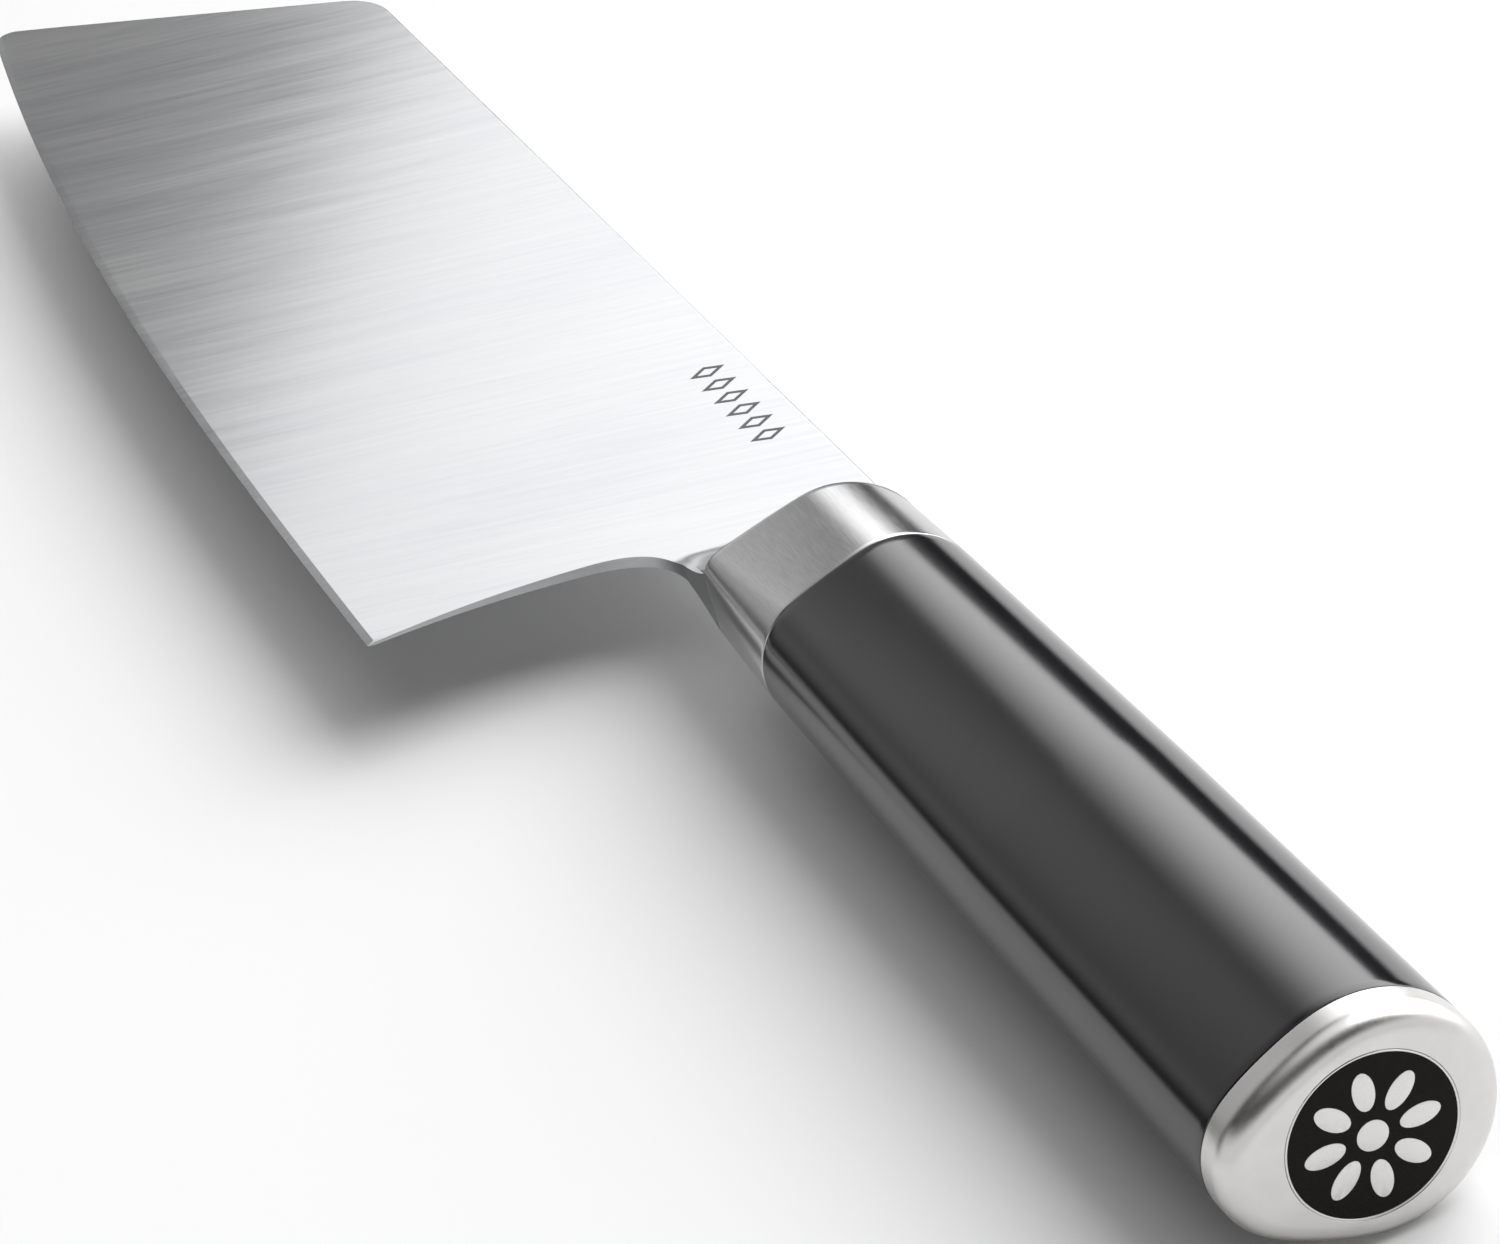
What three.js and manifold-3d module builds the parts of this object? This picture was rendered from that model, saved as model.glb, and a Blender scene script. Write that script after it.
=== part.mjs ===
// Cleaver-shaped chef's knife: forged blade and collar, hidden tang, polymer
// grip, and a steel end cap with an inlaid disc.
//
// Local frame, millimetres: X runs along the knife with the collar's rear rim
// at x = 0, the toe at -X and the butt at +X. +Y is the spine side, -Y the
// cutting edge, and the two cheeks face +Z and -Z.
import * as THREE from 'three';
import { mergeVertices } from 'three/addons/utils/BufferGeometryUtils.js';
import Module from 'manifold-3d';

const wasm = await Module();
wasm.setup();

// ---------------------------------------------------------------- dimensions
const FIT_GAP = 0.3; // clearance between neighbouring pieces

const EDGE_LENGTH = 189.2; // heel to toe corner, measured along X
const HEEL_X = -38.9;
const HEEL_Y = -47.6;
const TOE_RISE = 12.2; // how far the edge sweeps up by the toe
const EDGE_SWEEP = 2.68; // power of the sweep: flat at the heel, curved late
const SPINE_Y_AT_COLLAR = 11.3;
const SPINE_SLOPE = 0.0115; // fall of the spine toward the toe, mm per mm
const TOE_LINE_SLOPE = 1.25; // rise over run of the slanted toe
const TOE_TOP_RADIUS = 10;
const TOE_TIP_RADIUS = 2.3;

const SPINE_HALF = 1.2; // half thickness of the blade at the collar's spine
const WEDGE_PER_MM = 0.017; // half thickness gained per mm away from the edge
const TAPER_PER_MM = 0.0011; // half thickness lost per mm toward the toe
const BEVEL_HEIGHT = 0.9;
const EDGE_HALF = 0.03; // half thickness left at the cutting edge

const CHOIL_TOP_Y = -20.6; // where the choil line ends and its corner begins
const CHOIL_LEAN = 3.6; // how far the choil leans toward the handle
const BELLY_START_X = -27;
const FLARE_START_BELLY = -29.5; // where the cheek starts to swell, belly side
const FLARE_START_SPINE = -24;
const COLLAR_FRONT_X = -14.2; // on the spine side
const COLLAR_LEAN = 0.205; // the collar's front leans toward the toe at the belly

// Sections are the outline around one spine-side circle and two belly circles, with
// the flanks between them rounded by ease. The belly is cut flat where its circles
// reach the crease angle.
const COLLAR_FRONT = {
  topY: 11.87, topR: 10, botY: -13.1, botR: 3.75, half: 2.45, crease: 0.32, ease: 0.2,
};
const COLLAR_REAR = {
  topY: 12.45, topR: 10.65, botY: -14.5, botR: 8.2, half: 0.1, crease: 0.02, ease: 0.25,
};
const GRIP_MIDDLE = {
  topY: 13.9, topR: 11.95, botY: -15.15, botR: 8.7, half: 0.1, crease: 0.02, ease: 0.4,
};
const GRIP_REAR = {
  topY: 14.8, topR: 12.65, botY: -15.15, botR: 9, half: 0.1, crease: 0.02, ease: 0.45,
};
const GRIP_LENGTH = 110.5;
const BUTT_X = 115.5;
const CAP_EDGE_RADIUS = 2.6;
const AXIS_Y = 0.6; // height of the stud and of the disc

const STUB = { y0: -7.5, y1: 7.5, half: 1.2, end: -6 }; // root of the tang
const TANG = { half: 2, flare: 12, y0: -6.5, y1: 6.5 }; // bar welded to the stub
const TANG_END = { x: 84, y0: -4, y1: 5 };
const GRIP_FRONT_X = 0.3;
const CHANNEL = { y0: -9.5, y1: 8.5, half: 3.6, end: 92 }; // tang space in the grip
const BEDDING = { start: 2, end: 82 };
const SPIGOT = { radius: 9.4, flatY: 7.8, start: 96 };
const STUD_RADIUS = 3;
const COUNTERBORE = { radius: 6.6, floorX: 106.8 };
const WASHER = { radius: 6.2, thickness: 1.2 };
const NUT = { flats: 10, thickness: 4.6 };
const DISC = { radius: 9.2, recess: 1.6, base: 0.6, rim: 0.4, enamel: 0.35 };
const PETAL = { count: 8, reach: 5.1, length: 2.2, width: 1.2 }; // half sizes
const CENTRE_DOT_RADIUS = 1.7;

// ------------------------------------------------------------------- colours
const BLADE_STEEL = { color: 0xb9bbc0, roughness: 0.36, metalness: 1 };
const COLLAR_STEEL = { color: 0xa9aaad, roughness: 0.33, metalness: 1 };
const CAP_STEEL = { color: 0xcac7c4, roughness: 0.38, metalness: 1 };
const PLAIN_STEEL = { color: 0x93969a, roughness: 0.45, metalness: 1 };
const STUD_STEEL = { color: 0x8a8880, roughness: 0.5, metalness: 1 };
const BRASS = { color: 0xb08d46, roughness: 0.4, metalness: 1 };
const BLACK_POLYMER = { color: 0x1b1c20, roughness: 0.42, metalness: 0 };
const EPOXY = { color: 0x6f6a55, roughness: 0.6, metalness: 0 };
const MOTIF_STEEL = { color: 0xd2d0ce, roughness: 0.3, metalness: 1 };
const BLACK_ENAMEL = { color: 0x120d0a, roughness: 0.25, metalness: 0 };

// ------------------------------------------------------------ small helpers
const lerp = THREE.MathUtils.lerp;
const clamp01 = (t) => THREE.MathUtils.clamp(t, 0, 1);
const smooth = (t) => clamp01(t) ** 2 * (3 - 2 * clamp01(t));
const range = (n, f) => Array.from({ length: n }, (_, i) => f(i));
const steps = (n, from, to) => range(n, (i) => lerp(from, to, i / (n - 1)));

function toManifold(geometry) {
  const bare = geometry.clone();
  bare.deleteAttribute('normal');
  bare.deleteAttribute('uv');
  const merged = mergeVertices(bare, 1e-4);
  return new wasm.Manifold(new wasm.Mesh({
    numProp: 3,
    vertProperties: Float32Array.from(merged.attributes.position.array),
    triVerts: Uint32Array.from(merged.index.array),
  }));
}

function toGeometry(solid) {
  const mesh = solid.getMesh();
  const geometry = new THREE.BufferGeometry();
  geometry.setAttribute('position', new THREE.BufferAttribute(mesh.vertProperties, 3));
  geometry.setIndex(new THREE.BufferAttribute(mesh.triVerts, 1));
  return geometry;
}

function cut(body, ...tools) {
  return tools.reduce((left, tool) => left.subtract(tool), body);
}

// Closed skin over rings of equal length, each a list of [x, y, z]. Rings run
// toward +X and turn from +Y toward +Z, so the faces point outward.
function loft(rings) {
  const n = rings[0].length;
  const points = rings.flat();
  const index = [];
  for (let r = 0; r + 1 < rings.length; r += 1) {
    for (let i = 0; i < n; i += 1) {
      const a = r * n + i;
      const b = r * n + ((i + 1) % n);
      index.push(a, b, a + n, b, b + n, a + n);
    }
  }
  const hub = (ring) => range(3, (k) => ring.reduce((sum, p) => sum + p[k], 0) / n);
  const last = (rings.length - 1) * n;
  const frontHub = points.push(hub(rings[0])) - 1;
  const rearHub = points.push(hub(rings.at(-1))) - 1;
  for (let i = 0; i < n; i += 1) {
    const j = (i + 1) % n;
    index.push(frontHub, j, i, rearHub, last + i, last + j);
  }
  const geometry = new THREE.BufferGeometry();
  geometry.setAttribute('position', new THREE.Float32BufferAttribute(points.flat(), 3));
  geometry.setIndex(index);
  return geometry;
}

// Box given by its limits on each axis.
function block(x0, x1, y0, y1, z0, z1) {
  const box = new THREE.BoxGeometry(x1 - x0, y1 - y0, z1 - z0);
  return toManifold(box.translate((x0 + x1) / 2, (y0 + y1) / 2, (z0 + z1) / 2));
}

// Round bar along the line of the stud.
function rod(radius, x0, x1, sides = 40) {
  const bar = new THREE.CylinderGeometry(radius, radius, x1 - x0, sides);
  return toManifold(bar.rotateZ(-Math.PI / 2).translate((x0 + x1) / 2, AXIS_Y, 0));
}

// ------------------------------------------------------------------ sections
const RING_STEPS = 44;

function mixSection(a, b, t) {
  const mixed = {};
  for (const key of Object.keys(a)) mixed[key] = lerp(a[key], b[key], t);
  return mixed;
}

function insetSection(s, d) {
  return { ...s, topY: s.topY - d, topR: s.topR - d, botY: s.botY + d, botR: s.botR - d };
}

// Y of the flat strip along the belly.
function floorY(s) {
  return s.botY + s.botR * (1 - Math.cos(s.crease));
}

// Outline of a section as [y, z] points, from the belly's -Z corner over the spine
// side to its +Z corner. At each facing angle a, measured from +Y, it reaches as far
// as the spine-side circle or the belly circle, whichever stands further out, and
// the change from one to the other is eased, which rounds the flank.
function sectionRing(s) {
  const end = Math.PI - s.crease;
  return steps(RING_STEPS, -end, end).map((a) => {
    const y = Math.cos(a);
    const z = Math.sin(a);
    const topY = s.topY - s.topR;
    const bellyY = s.botY + s.botR;
    const bellyZ = s.half * Math.sign(z);
    const lead = (topY * y + s.topR - bellyY * y - bellyZ * z - s.botR) / s.ease;
    const share = 1 / (1 + Math.exp(-lead));
    const reach = bellyY * y + bellyZ * z + s.botR + s.ease * Math.log(1 + Math.exp(lead));
    const turn = bellyZ * y * (1 - share) - lerp(bellyY, topY, share) * z;
    return [reach * y - turn * z, reach * z + turn * y];
  });
}

function ringAt(x, s) {
  return sectionRing(s).map(([y, z]) => [x, y, z]);
}

// --------------------------------------------------------------------- blade
const COLLAR_FLOOR_Y = floorY(COLLAR_FRONT);

function edgeY(x) {
  const along = clamp01((HEEL_X - x) / EDGE_LENGTH);
  return HEEL_Y + TOE_RISE * along ** EDGE_SWEEP;
}

function spineY(x) {
  return SPINE_Y_AT_COLLAR + SPINE_SLOPE * (x - COLLAR_FRONT_X);
}

// Half thickness of the flat cheek: an exact plane in x and y.
function cheekHalf(x, y) {
  const fromSpine = SPINE_Y_AT_COLLAR - y;
  const fromCollar = COLLAR_FRONT_X - x;
  return SPINE_HALF - WEDGE_PER_MM * fromSpine - TAPER_PER_MM * fromCollar;
}

function bladeHalf(x, y) {
  const aboveEdge = y - edgeY(x);
  const crease = cheekHalf(x, edgeY(x) + BEVEL_HEIGHT);
  const bevel = lerp(EDGE_HALF, crease, aboveEdge / BEVEL_HEIGHT);
  return aboveEdge < BEVEL_HEIGHT ? bevel : cheekHalf(x, y);
}

// Rounds the corner of the lines a-b and b-c with an arc of n points.
function roundCorner(a, b, c, radius, n) {
  const toA = a.clone().sub(b).normalize();
  const toC = c.clone().sub(b).normalize();
  const halfAngle = toA.angleTo(toC) / 2;
  const middle = toA.clone().add(toC).normalize();
  const centre = b.clone().addScaledVector(middle, radius / Math.sin(halfAngle));
  const reach = radius / Math.tan(halfAngle);
  const from = b.clone().addScaledVector(toA, reach).sub(centre);
  const to = b.clone().addScaledVector(toC, reach).sub(centre);
  const sweep = from.angleTo(to);
  const turn = Math.sign(from.cross(to));
  const origin = new THREE.Vector2();
  return steps(n, 0, turn * sweep).map((a2) => from.clone().rotateAround(origin, a2).add(centre));
}

// Where a line of the given slope through p meets the spine line.
function meetSpine(p, slope) {
  const x = (spineY(0) - p.y + slope * p.x) / (slope - SPINE_SLOPE);
  return new THREE.Vector2(x, spineY(x));
}

// Matching points on the lower and the upper outline of the blade, from the
// toe to the collar. Each pair is one cross-section.
function bladeStations() {
  const v = (x, y) => new THREE.Vector2(x, y);
  const toeX = HEEL_X - EDGE_LENGTH;
  const toeTip = v(toeX, edgeY(toeX));
  const toeTop = meetSpine(toeTip, TOE_LINE_SLOPE);
  const edgePoint = (x) => v(x, edgeY(x));
  const spinePoint = (x) => v(x, spineY(x));

  const tip = roundCorner(toeTop, toeTip, edgePoint(toeX + 12), TOE_TIP_RADIUS, 10);
  const upperTip = tip.slice(0, 5).reverse();
  const lowerTip = tip.slice(5);
  const crest = roundCorner(toeTip, toeTop, spinePoint(-150), TOE_TOP_RADIUS, 9);
  const toeLine = steps(5, 0, 1).map((t) => upperTip[4].clone().lerp(crest[0], t)).slice(1, 4);

  const lowerToe = steps(13, 0, 1).map((t) => edgePoint(lerp(lowerTip[4].x, -200, t))).slice(1);
  const lowerEdge = steps(19, -200, HEEL_X).map(edgePoint).slice(1);
  const upperSpine = steps(19, crest.at(-1).x, -66).map(spinePoint).slice(1);

  const choil = steps(10, 0, 1).map((t) => {
    const y = lerp(HEEL_Y, CHOIL_TOP_Y, t);
    return v(HEEL_X + CHOIL_LEAN * t ** 2.1, y);
  });
  const aboveChoil = steps(10, -66, -34).map(spinePoint).slice(1);
  const collarFront = v(seamX(COLLAR_FLOOR_Y), COLLAR_FLOOR_Y);
  const bellyStart = v(BELLY_START_X, COLLAR_FLOOR_Y);
  const cornerPull = v(-33.2, -14.2);
  const corner = new THREE.CubicBezierCurve(
    choil.at(-1),
    choil.at(-1).clone().lerp(cornerPull, 0.72),
    cornerPull.clone().lerp(bellyStart, 0.3),
    bellyStart,
  ).getPoints(9).slice(1);
  const belly = steps(9, 0, 1).map((t) => corner.at(-1).clone().lerp(collarFront, t)).slice(1);
  const aboveCorner = steps(10, -34, BELLY_START_X).map((x) => v(x, flareTopY(x))).slice(1);
  const aboveBelly = steps(9, BELLY_START_X, COLLAR_FRONT_X).map((x) => v(x, flareTopY(x))).slice(1);

  const lower = [...lowerTip, ...lowerToe, ...lowerEdge, ...choil.slice(1), ...corner, ...belly];
  const upper = [...upperTip, ...toeLine, ...crest, ...upperSpine, ...aboveChoil,
    ...aboveCorner, ...aboveBelly];
  return lower.map((p, i) => [p, upper[i]]);
}

// X of the seam between blade and collar.
function seamX(y) {
  return COLLAR_FRONT_X - COLLAR_LEAN * (COLLAR_FRONT.topY - y);
}

// Share of the collar's section reached at x, for a point at height v (0 at
// the belly, 1 at the spine). Concave, so the cheek sweeps up into the collar.
function flare(x, v) {
  const start = lerp(FLARE_START_BELLY, FLARE_START_SPINE, smooth(v * 1.6));
  const end = seamX(lerp(COLLAR_FLOOR_Y, COLLAR_FRONT.topY, v));
  return clamp01((x - start) / (end - start)) ** lerp(1.7, 2.6, v);
}

function flareTopY(x) {
  return lerp(spineY(x), COLLAR_FRONT.topY, flare(x, 1));
}

// One blade cross-section, built on the points of the collar's front section
// so that the last one lands on it exactly. The first row above the belly
// point stays at the top of the cutting bevel.
function bladeRing([low, high]) {
  const collarHeight = COLLAR_FRONT.topY - COLLAR_FLOOR_Y;
  const height = low.distanceTo(high);
  return sectionRing(COLLAR_FRONT).map(([y, z]) => {
    const v = (y - COLLAR_FLOOR_Y) / collarHeight;
    const swell = flare(low.x, v);
    const lift = v > 1e-6 ? Math.min(BEVEL_HEIGHT / height, 0.3) * (1 - swell) : 0;
    const at = low.clone().lerp(high, lift + (1 - lift) * v);
    const half = lerp(bladeHalf(at.x, at.y), Math.abs(z), flare(at.x, v));
    return [at.x, at.y, Math.sign(z) * Math.max(half, EDGE_HALF)];
  });
}

// Root of the tang, which runs into the collar's slot.
function stubBody(clearance) {
  const c = clearance;
  const half = STUB.half + c;
  return block(COLLAR_FRONT_X - 4, STUB.end + c, STUB.y0 - c, STUB.y1 + c, -half, half);
}

// Tang bar: parallel through the collar, then a straight taper to the stud.
function tangBody(clearance) {
  const c = clearance;
  const half = TANG.half + c;
  const ring = (x, y0, y1) => [
    [x, y1 + c, -half],
    [x, y1 + c, half],
    [x, y0 - c, half],
    [x, y0 - c, -half],
  ];
  return toManifold(loft([
    ring(STUB.end + FIT_GAP - c, TANG.y0, TANG.y1),
    ring(TANG.flare, TANG.y0, TANG.y1),
    ring(TANG_END.x + c, TANG_END.y0, TANG_END.y1),
  ]));
}

function makeBlade() {
  const body = toManifold(loft(bladeStations().map(bladeRing)));
  return body.add(stubBody(0));
}

// -------------------------------------------------------------------- collar
function makeCollar() {
  const rings = steps(9, 0, 1).map((t) => {
    const section = mixSection(COLLAR_FRONT, COLLAR_REAR, t);
    return sectionRing(section).map(([y, z]) => [lerp(seamX(y) + FIT_GAP, 0, t), y, z]);
  });
  return cut(toManifold(loft(rings)), stubBody(FIT_GAP), tangBody(FIT_GAP));
}

// ---------------------------------------------------------------------- grip
// Section of the grip, t = 0 at the collar and 1 at the end cap.
function gripSection(t) {
  return t < 0.5
    ? mixSection(COLLAR_REAR, GRIP_MIDDLE, t * 2)
    : mixSection(GRIP_MIDDLE, GRIP_REAR, t * 2 - 1);
}

// Round bar with two flats, so that the end cap cannot turn in the grip.
function spigotBody(clearance) {
  const flat = SPIGOT.flatY + clearance;
  const x0 = SPIGOT.start - clearance;
  const x1 = GRIP_LENGTH + 1;
  const side = SPIGOT.radius * 2;
  const bar = rod(SPIGOT.radius + clearance, x0, x1, 48);
  return bar.intersect(block(x0, x1, AXIS_Y - flat, AXIS_Y + flat, -side, side));
}

function makeGrip() {
  const rings = steps(13, 0, 1).map((t) => {
    const x = lerp(GRIP_FRONT_X, GRIP_LENGTH, t);
    return ringAt(x, gripSection(t));
  });
  const c = CHANNEL;
  return cut(
    toManifold(loft(rings)),
    block(-1, c.end, c.y0, c.y1, -c.half, c.half),
    rod(STUD_RADIUS + FIT_GAP, c.end - 1, SPIGOT.start),
    spigotBody(FIT_GAP),
  );
}

// Resin that holds the tang in the grip's channel.
function makeBedding() {
  const y0 = CHANNEL.y0 + FIT_GAP;
  const y1 = CHANNEL.y1 - FIT_GAP;
  const half = CHANNEL.half - FIT_GAP;
  return cut(
    block(BEDDING.start, BEDDING.end, y0, y1, -half, half),
    tangBody(FIT_GAP),
  );
}

// ------------------------------------------------------------------ fastener
const WASHER_X = COUNTERBORE.floorX + FIT_GAP;
const NUT_X = WASHER_X + WASHER.thickness + FIT_GAP;
const STUD_END_X = NUT_X + NUT.thickness + 0.4;
const DISC_X = BUTT_X - DISC.recess + FIT_GAP;

function makeStud() {
  return rod(STUD_RADIUS, TANG_END.x + FIT_GAP, STUD_END_X);
}

function makeWasher() {
  const hole = rod(STUD_RADIUS + FIT_GAP, WASHER_X - 1, WASHER_X + WASHER.thickness + 1);
  return cut(rod(WASHER.radius, WASHER_X, WASHER_X + WASHER.thickness), hole);
}

function makeNut() {
  const acrossCorners = NUT.flats / Math.cos(Math.PI / 6) / 2;
  const hole = rod(STUD_RADIUS + FIT_GAP, NUT_X - 1, NUT_X + NUT.thickness + 1);
  return cut(rod(acrossCorners, NUT_X, NUT_X + NUT.thickness, 6), hole);
}

// ------------------------------------------------------------------- end cap
function makeEndCap() {
  const start = GRIP_LENGTH + FIT_GAP;
  const roundStart = BUTT_X - CAP_EDGE_RADIUS;
  const edge = steps(7, 0, Math.PI / 2).map((a) => ringAt(
    roundStart + CAP_EDGE_RADIUS * Math.sin(a),
    insetSection(GRIP_REAR, CAP_EDGE_RADIUS * (1 - Math.cos(a))),
  ));
  const body = toManifold(loft([ringAt(start, GRIP_REAR), ...edge]));
  return cut(
    body.add(spigotBody(0)),
    rod(STUD_RADIUS + FIT_GAP, SPIGOT.start - 1, COUNTERBORE.floorX + 1),
    rod(COUNTERBORE.radius, COUNTERBORE.floorX, BUTT_X - DISC.recess + 1),
    rod(DISC.radius + FIT_GAP, BUTT_X - DISC.recess, BUTT_X + 1, 72),
  );
}

// Motif of the disc: a ring of petals around a dot, grown by a clearance.
function motif(clearance, x0, x1) {
  const petals = range(PETAL.count, (i) => {
    const petal = new THREE.CylinderGeometry(1, 1, x1 - x0, 24).rotateZ(-Math.PI / 2);
    petal.scale(1, PETAL.length + clearance, PETAL.width + clearance);
    petal.translate((x0 + x1) / 2, PETAL.reach, 0).rotateX((i * 2 * Math.PI) / PETAL.count);
    return toManifold(petal.translate(0, AXIS_Y, 0));
  });
  return [...petals, rod(CENTRE_DOT_RADIUS + clearance, x0, x1, 32)];
}

function makeDisc() {
  const faceX = DISC_X + DISC.base;
  const plate = rod(DISC.radius, DISC_X, BUTT_X, 72);
  const well = rod(DISC.radius - DISC.rim, faceX, BUTT_X + 1, 72);
  const dish = plate.subtract(well);
  return motif(0, faceX - 0.2, BUTT_X).reduce((disc, piece) => disc.add(piece), dish);
}

function makeEnamel() {
  const x1 = BUTT_X - 0.05;
  const x0 = x1 - DISC.enamel;
  const sheet = rod(DISC.radius - DISC.rim - FIT_GAP, x0, x1, 72);
  return cut(sheet, ...motif(FIT_GAP, x0 - 1, x1 + 1));
}

// ------------------------------------------------------------------ assembly
const PIECES = {
  blade: [makeBlade, BLADE_STEEL],
  collar: [makeCollar, COLLAR_STEEL],
  tang_bar: [() => tangBody(0), PLAIN_STEEL],
  grip: [makeGrip, BLACK_POLYMER],
  tang_bedding: [makeBedding, EPOXY],
  tang_stud: [makeStud, STUD_STEEL],
  stud_washer: [makeWasher, PLAIN_STEEL],
  stud_nut: [makeNut, BRASS],
  end_cap: [makeEndCap, CAP_STEEL],
  emblem_disc: [makeDisc, MOTIF_STEEL],
  emblem_enamel: [makeEnamel, BLACK_ENAMEL],
};

const knife = new THREE.Group();
for (const [name, [make, look]] of Object.entries(PIECES)) {
  const mesh = new THREE.Mesh(toGeometry(make()), new THREE.MeshStandardMaterial(look));
  mesh.name = name;
  knife.add(mesh);
}

// The origin sits under the middle of the bounding box.
const bounds = new THREE.Box3().setFromObject(knife);
const middle = bounds.getCenter(new THREE.Vector3());
knife.position.set(-middle.x, -middle.y, -bounds.min.z);

export default knife;
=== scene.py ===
"""Looks of a cleaver-shaped chef's knife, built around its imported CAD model.

Shapes are worked out in the knife's own frame in millimetres: X = 0 at the rear
rim of the collar, the toe at -X, the butt at +X, the spine at +Y, the cutting
edge at -Y and the two cheeks at +Z and -Z. place() takes them to the row frame.
"""

import math

import bmesh
import bpy
import numpy as np
from mathutils import Euler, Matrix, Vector


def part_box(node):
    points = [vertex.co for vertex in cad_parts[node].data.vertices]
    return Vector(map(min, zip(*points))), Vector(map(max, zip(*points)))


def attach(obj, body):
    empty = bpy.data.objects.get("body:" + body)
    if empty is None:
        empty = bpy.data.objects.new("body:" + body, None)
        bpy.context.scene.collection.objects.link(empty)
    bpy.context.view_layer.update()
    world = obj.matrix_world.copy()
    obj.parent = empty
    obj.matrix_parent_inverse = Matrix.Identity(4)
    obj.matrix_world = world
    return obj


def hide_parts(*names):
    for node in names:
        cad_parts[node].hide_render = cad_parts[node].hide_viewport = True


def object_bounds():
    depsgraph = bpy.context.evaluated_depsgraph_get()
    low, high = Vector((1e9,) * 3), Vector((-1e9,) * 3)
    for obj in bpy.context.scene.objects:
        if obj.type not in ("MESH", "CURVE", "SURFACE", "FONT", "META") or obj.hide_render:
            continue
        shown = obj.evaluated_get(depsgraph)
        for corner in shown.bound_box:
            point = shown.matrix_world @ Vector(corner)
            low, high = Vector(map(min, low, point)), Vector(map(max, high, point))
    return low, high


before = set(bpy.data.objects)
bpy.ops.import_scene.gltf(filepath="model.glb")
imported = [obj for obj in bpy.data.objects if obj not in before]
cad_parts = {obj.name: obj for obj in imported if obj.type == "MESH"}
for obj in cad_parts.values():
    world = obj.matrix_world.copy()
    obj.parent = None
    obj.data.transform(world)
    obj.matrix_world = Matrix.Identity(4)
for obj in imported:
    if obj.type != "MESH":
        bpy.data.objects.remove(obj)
cad_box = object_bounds()

MM = 0.001

# ------------------------------------------------------- dimensions, in mm
EDGE_LENGTH = 189.2
HEEL = (-38.9, -47.6)
TOE_RISE = 12.2
EDGE_SWEEP = 2.68
SPINE_Y_AT_COLLAR = 11.3
SPINE_SLOPE = 0.0115
TOE_LINE_SLOPE = 1.25
TOE_TOP_RADIUS = 10
TOE_TIP_RADIUS = 2.3
SPINE_HALF = 1.2
WEDGE_PER_MM = 0.017
TAPER_PER_MM = 0.0011
BEVEL_HEIGHT = 0.9
EDGE_HALF = 0.02
SPINE_EASE = 0.3  # rounding of the spine's long corners
CHOIL_TOP_Y = -20.6
CHOIL_LEAN = 3.6
CHOIL_CURVE = 2.1  # power of the lean: square to the edge at the heel
CHOIL_PULL = (-33.2, -14.2)  # corner that the choil's round into the belly leans on
CHOIL_PULL_SHARES = (0.72, 0.3)  # how far it is followed from the choil and to the belly
BELLY_START_X = -27
FLARE_START_BELLY = -29.5
FLARE_START_SPINE = -24
FLARE_CURVE_BELLY = 1.7  # powers of the flare: the higher, the later it swells
FLARE_CURVE_SPINE = 2.6
COLLAR_FRONT_X = -14.2
COLLAR_LEAN = 0.205

NOSE_REACH = 12  # length of edge that the toe tip's corner is squared up to
TOE_SPREAD = 1.3  # power that gathers the edge's points toward the tip
# X where the spacing of points changes along the blade's outline.
EDGE_BREAK_X = -200
SPINE_BREAK_X = -66
FLARE_BREAK_X = -34

COLLAR_FRONT = dict(
    top=11.87, top_r=10.0, bot=-13.1, bot_r=3.75, half=2.45, crease=0.32, ease=0.2
)
COLLAR_REAR = dict(
    top=12.45, top_r=10.65, bot=-14.5, bot_r=8.2, half=0.1, crease=0.02, ease=0.25
)
GRIP_MIDDLE = dict(
    top=13.9, top_r=11.95, bot=-15.15, bot_r=8.7, half=0.1, crease=0.02, ease=0.4
)
GRIP_REAR = dict(
    top=14.8, top_r=12.65, bot=-15.15, bot_r=9.0, half=0.1, crease=0.02, ease=0.45
)
GRIP_LENGTH = 110.5
BUTT_X = 115.5
CAP_EDGE_RADIUS = 2.6
AXIS_Y = 0.6

SEAM = 0.02  # half the hairline left between neighbouring pieces
RIM_EASE = 0.16  # eased rims of collar, grip and cap
MOUTH_EASE = 0.08  # eased rim of the cap's recess for the disc
RING_POINTS = 170

DISC_RADIUS = 9.2
DISC_DEPTH = 1.3
DISC_RIM = 0.22
PETALS = 8
PETAL_REACH = 5.1
PETAL_HALF_LENGTH = 2.2
PETAL_HALF_WIDTH = 1.2
DOT_RADIUS = 1.7
WELL_DEPTH = 0.5  # dish in the disc that holds the enamel
WELL_EASE = 0.04
DISC_EASE = 0.05
PETAL_SINK = 0.1  # root of each petal below the dish's bottom
ENAMEL_DROP = 0.06
ENAMEL_CLEARANCE = 0.01

# Faces that turn by more than this many degrees meet in a sharp edge.
CREASE_STEEL = 24
CREASE_GRIP = 40
CREASE_MARKS = 10
CREASE_FLARE = 26
CREASE_CHEEK = 5  # on the blade, toward the toe from CHEEK_END_X
CHEEK_END_X = -36

# Row frame of the knife's own origin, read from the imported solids.
disc_low, disc_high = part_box("emblem_disc")
ORIGIN = Vector((
    disc_high.x / MM - BUTT_X,
    (disc_low.y + disc_high.y) / 2 / MM - AXIS_Y,
    (disc_low.z + disc_high.z) / 2 / MM,
))


def place(points):
    """Knife-frame millimetres to row-frame metres."""
    return (np.asarray(points, float) + np.array(ORIGIN)) * MM


def lerp(a, b, t):
    return a + (b - a) * t


def clamp01(t):
    return min(max(t, 0.0), 1.0)


def smooth(t):
    t = clamp01(t)
    return t * t * (3 - 2 * t)


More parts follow.
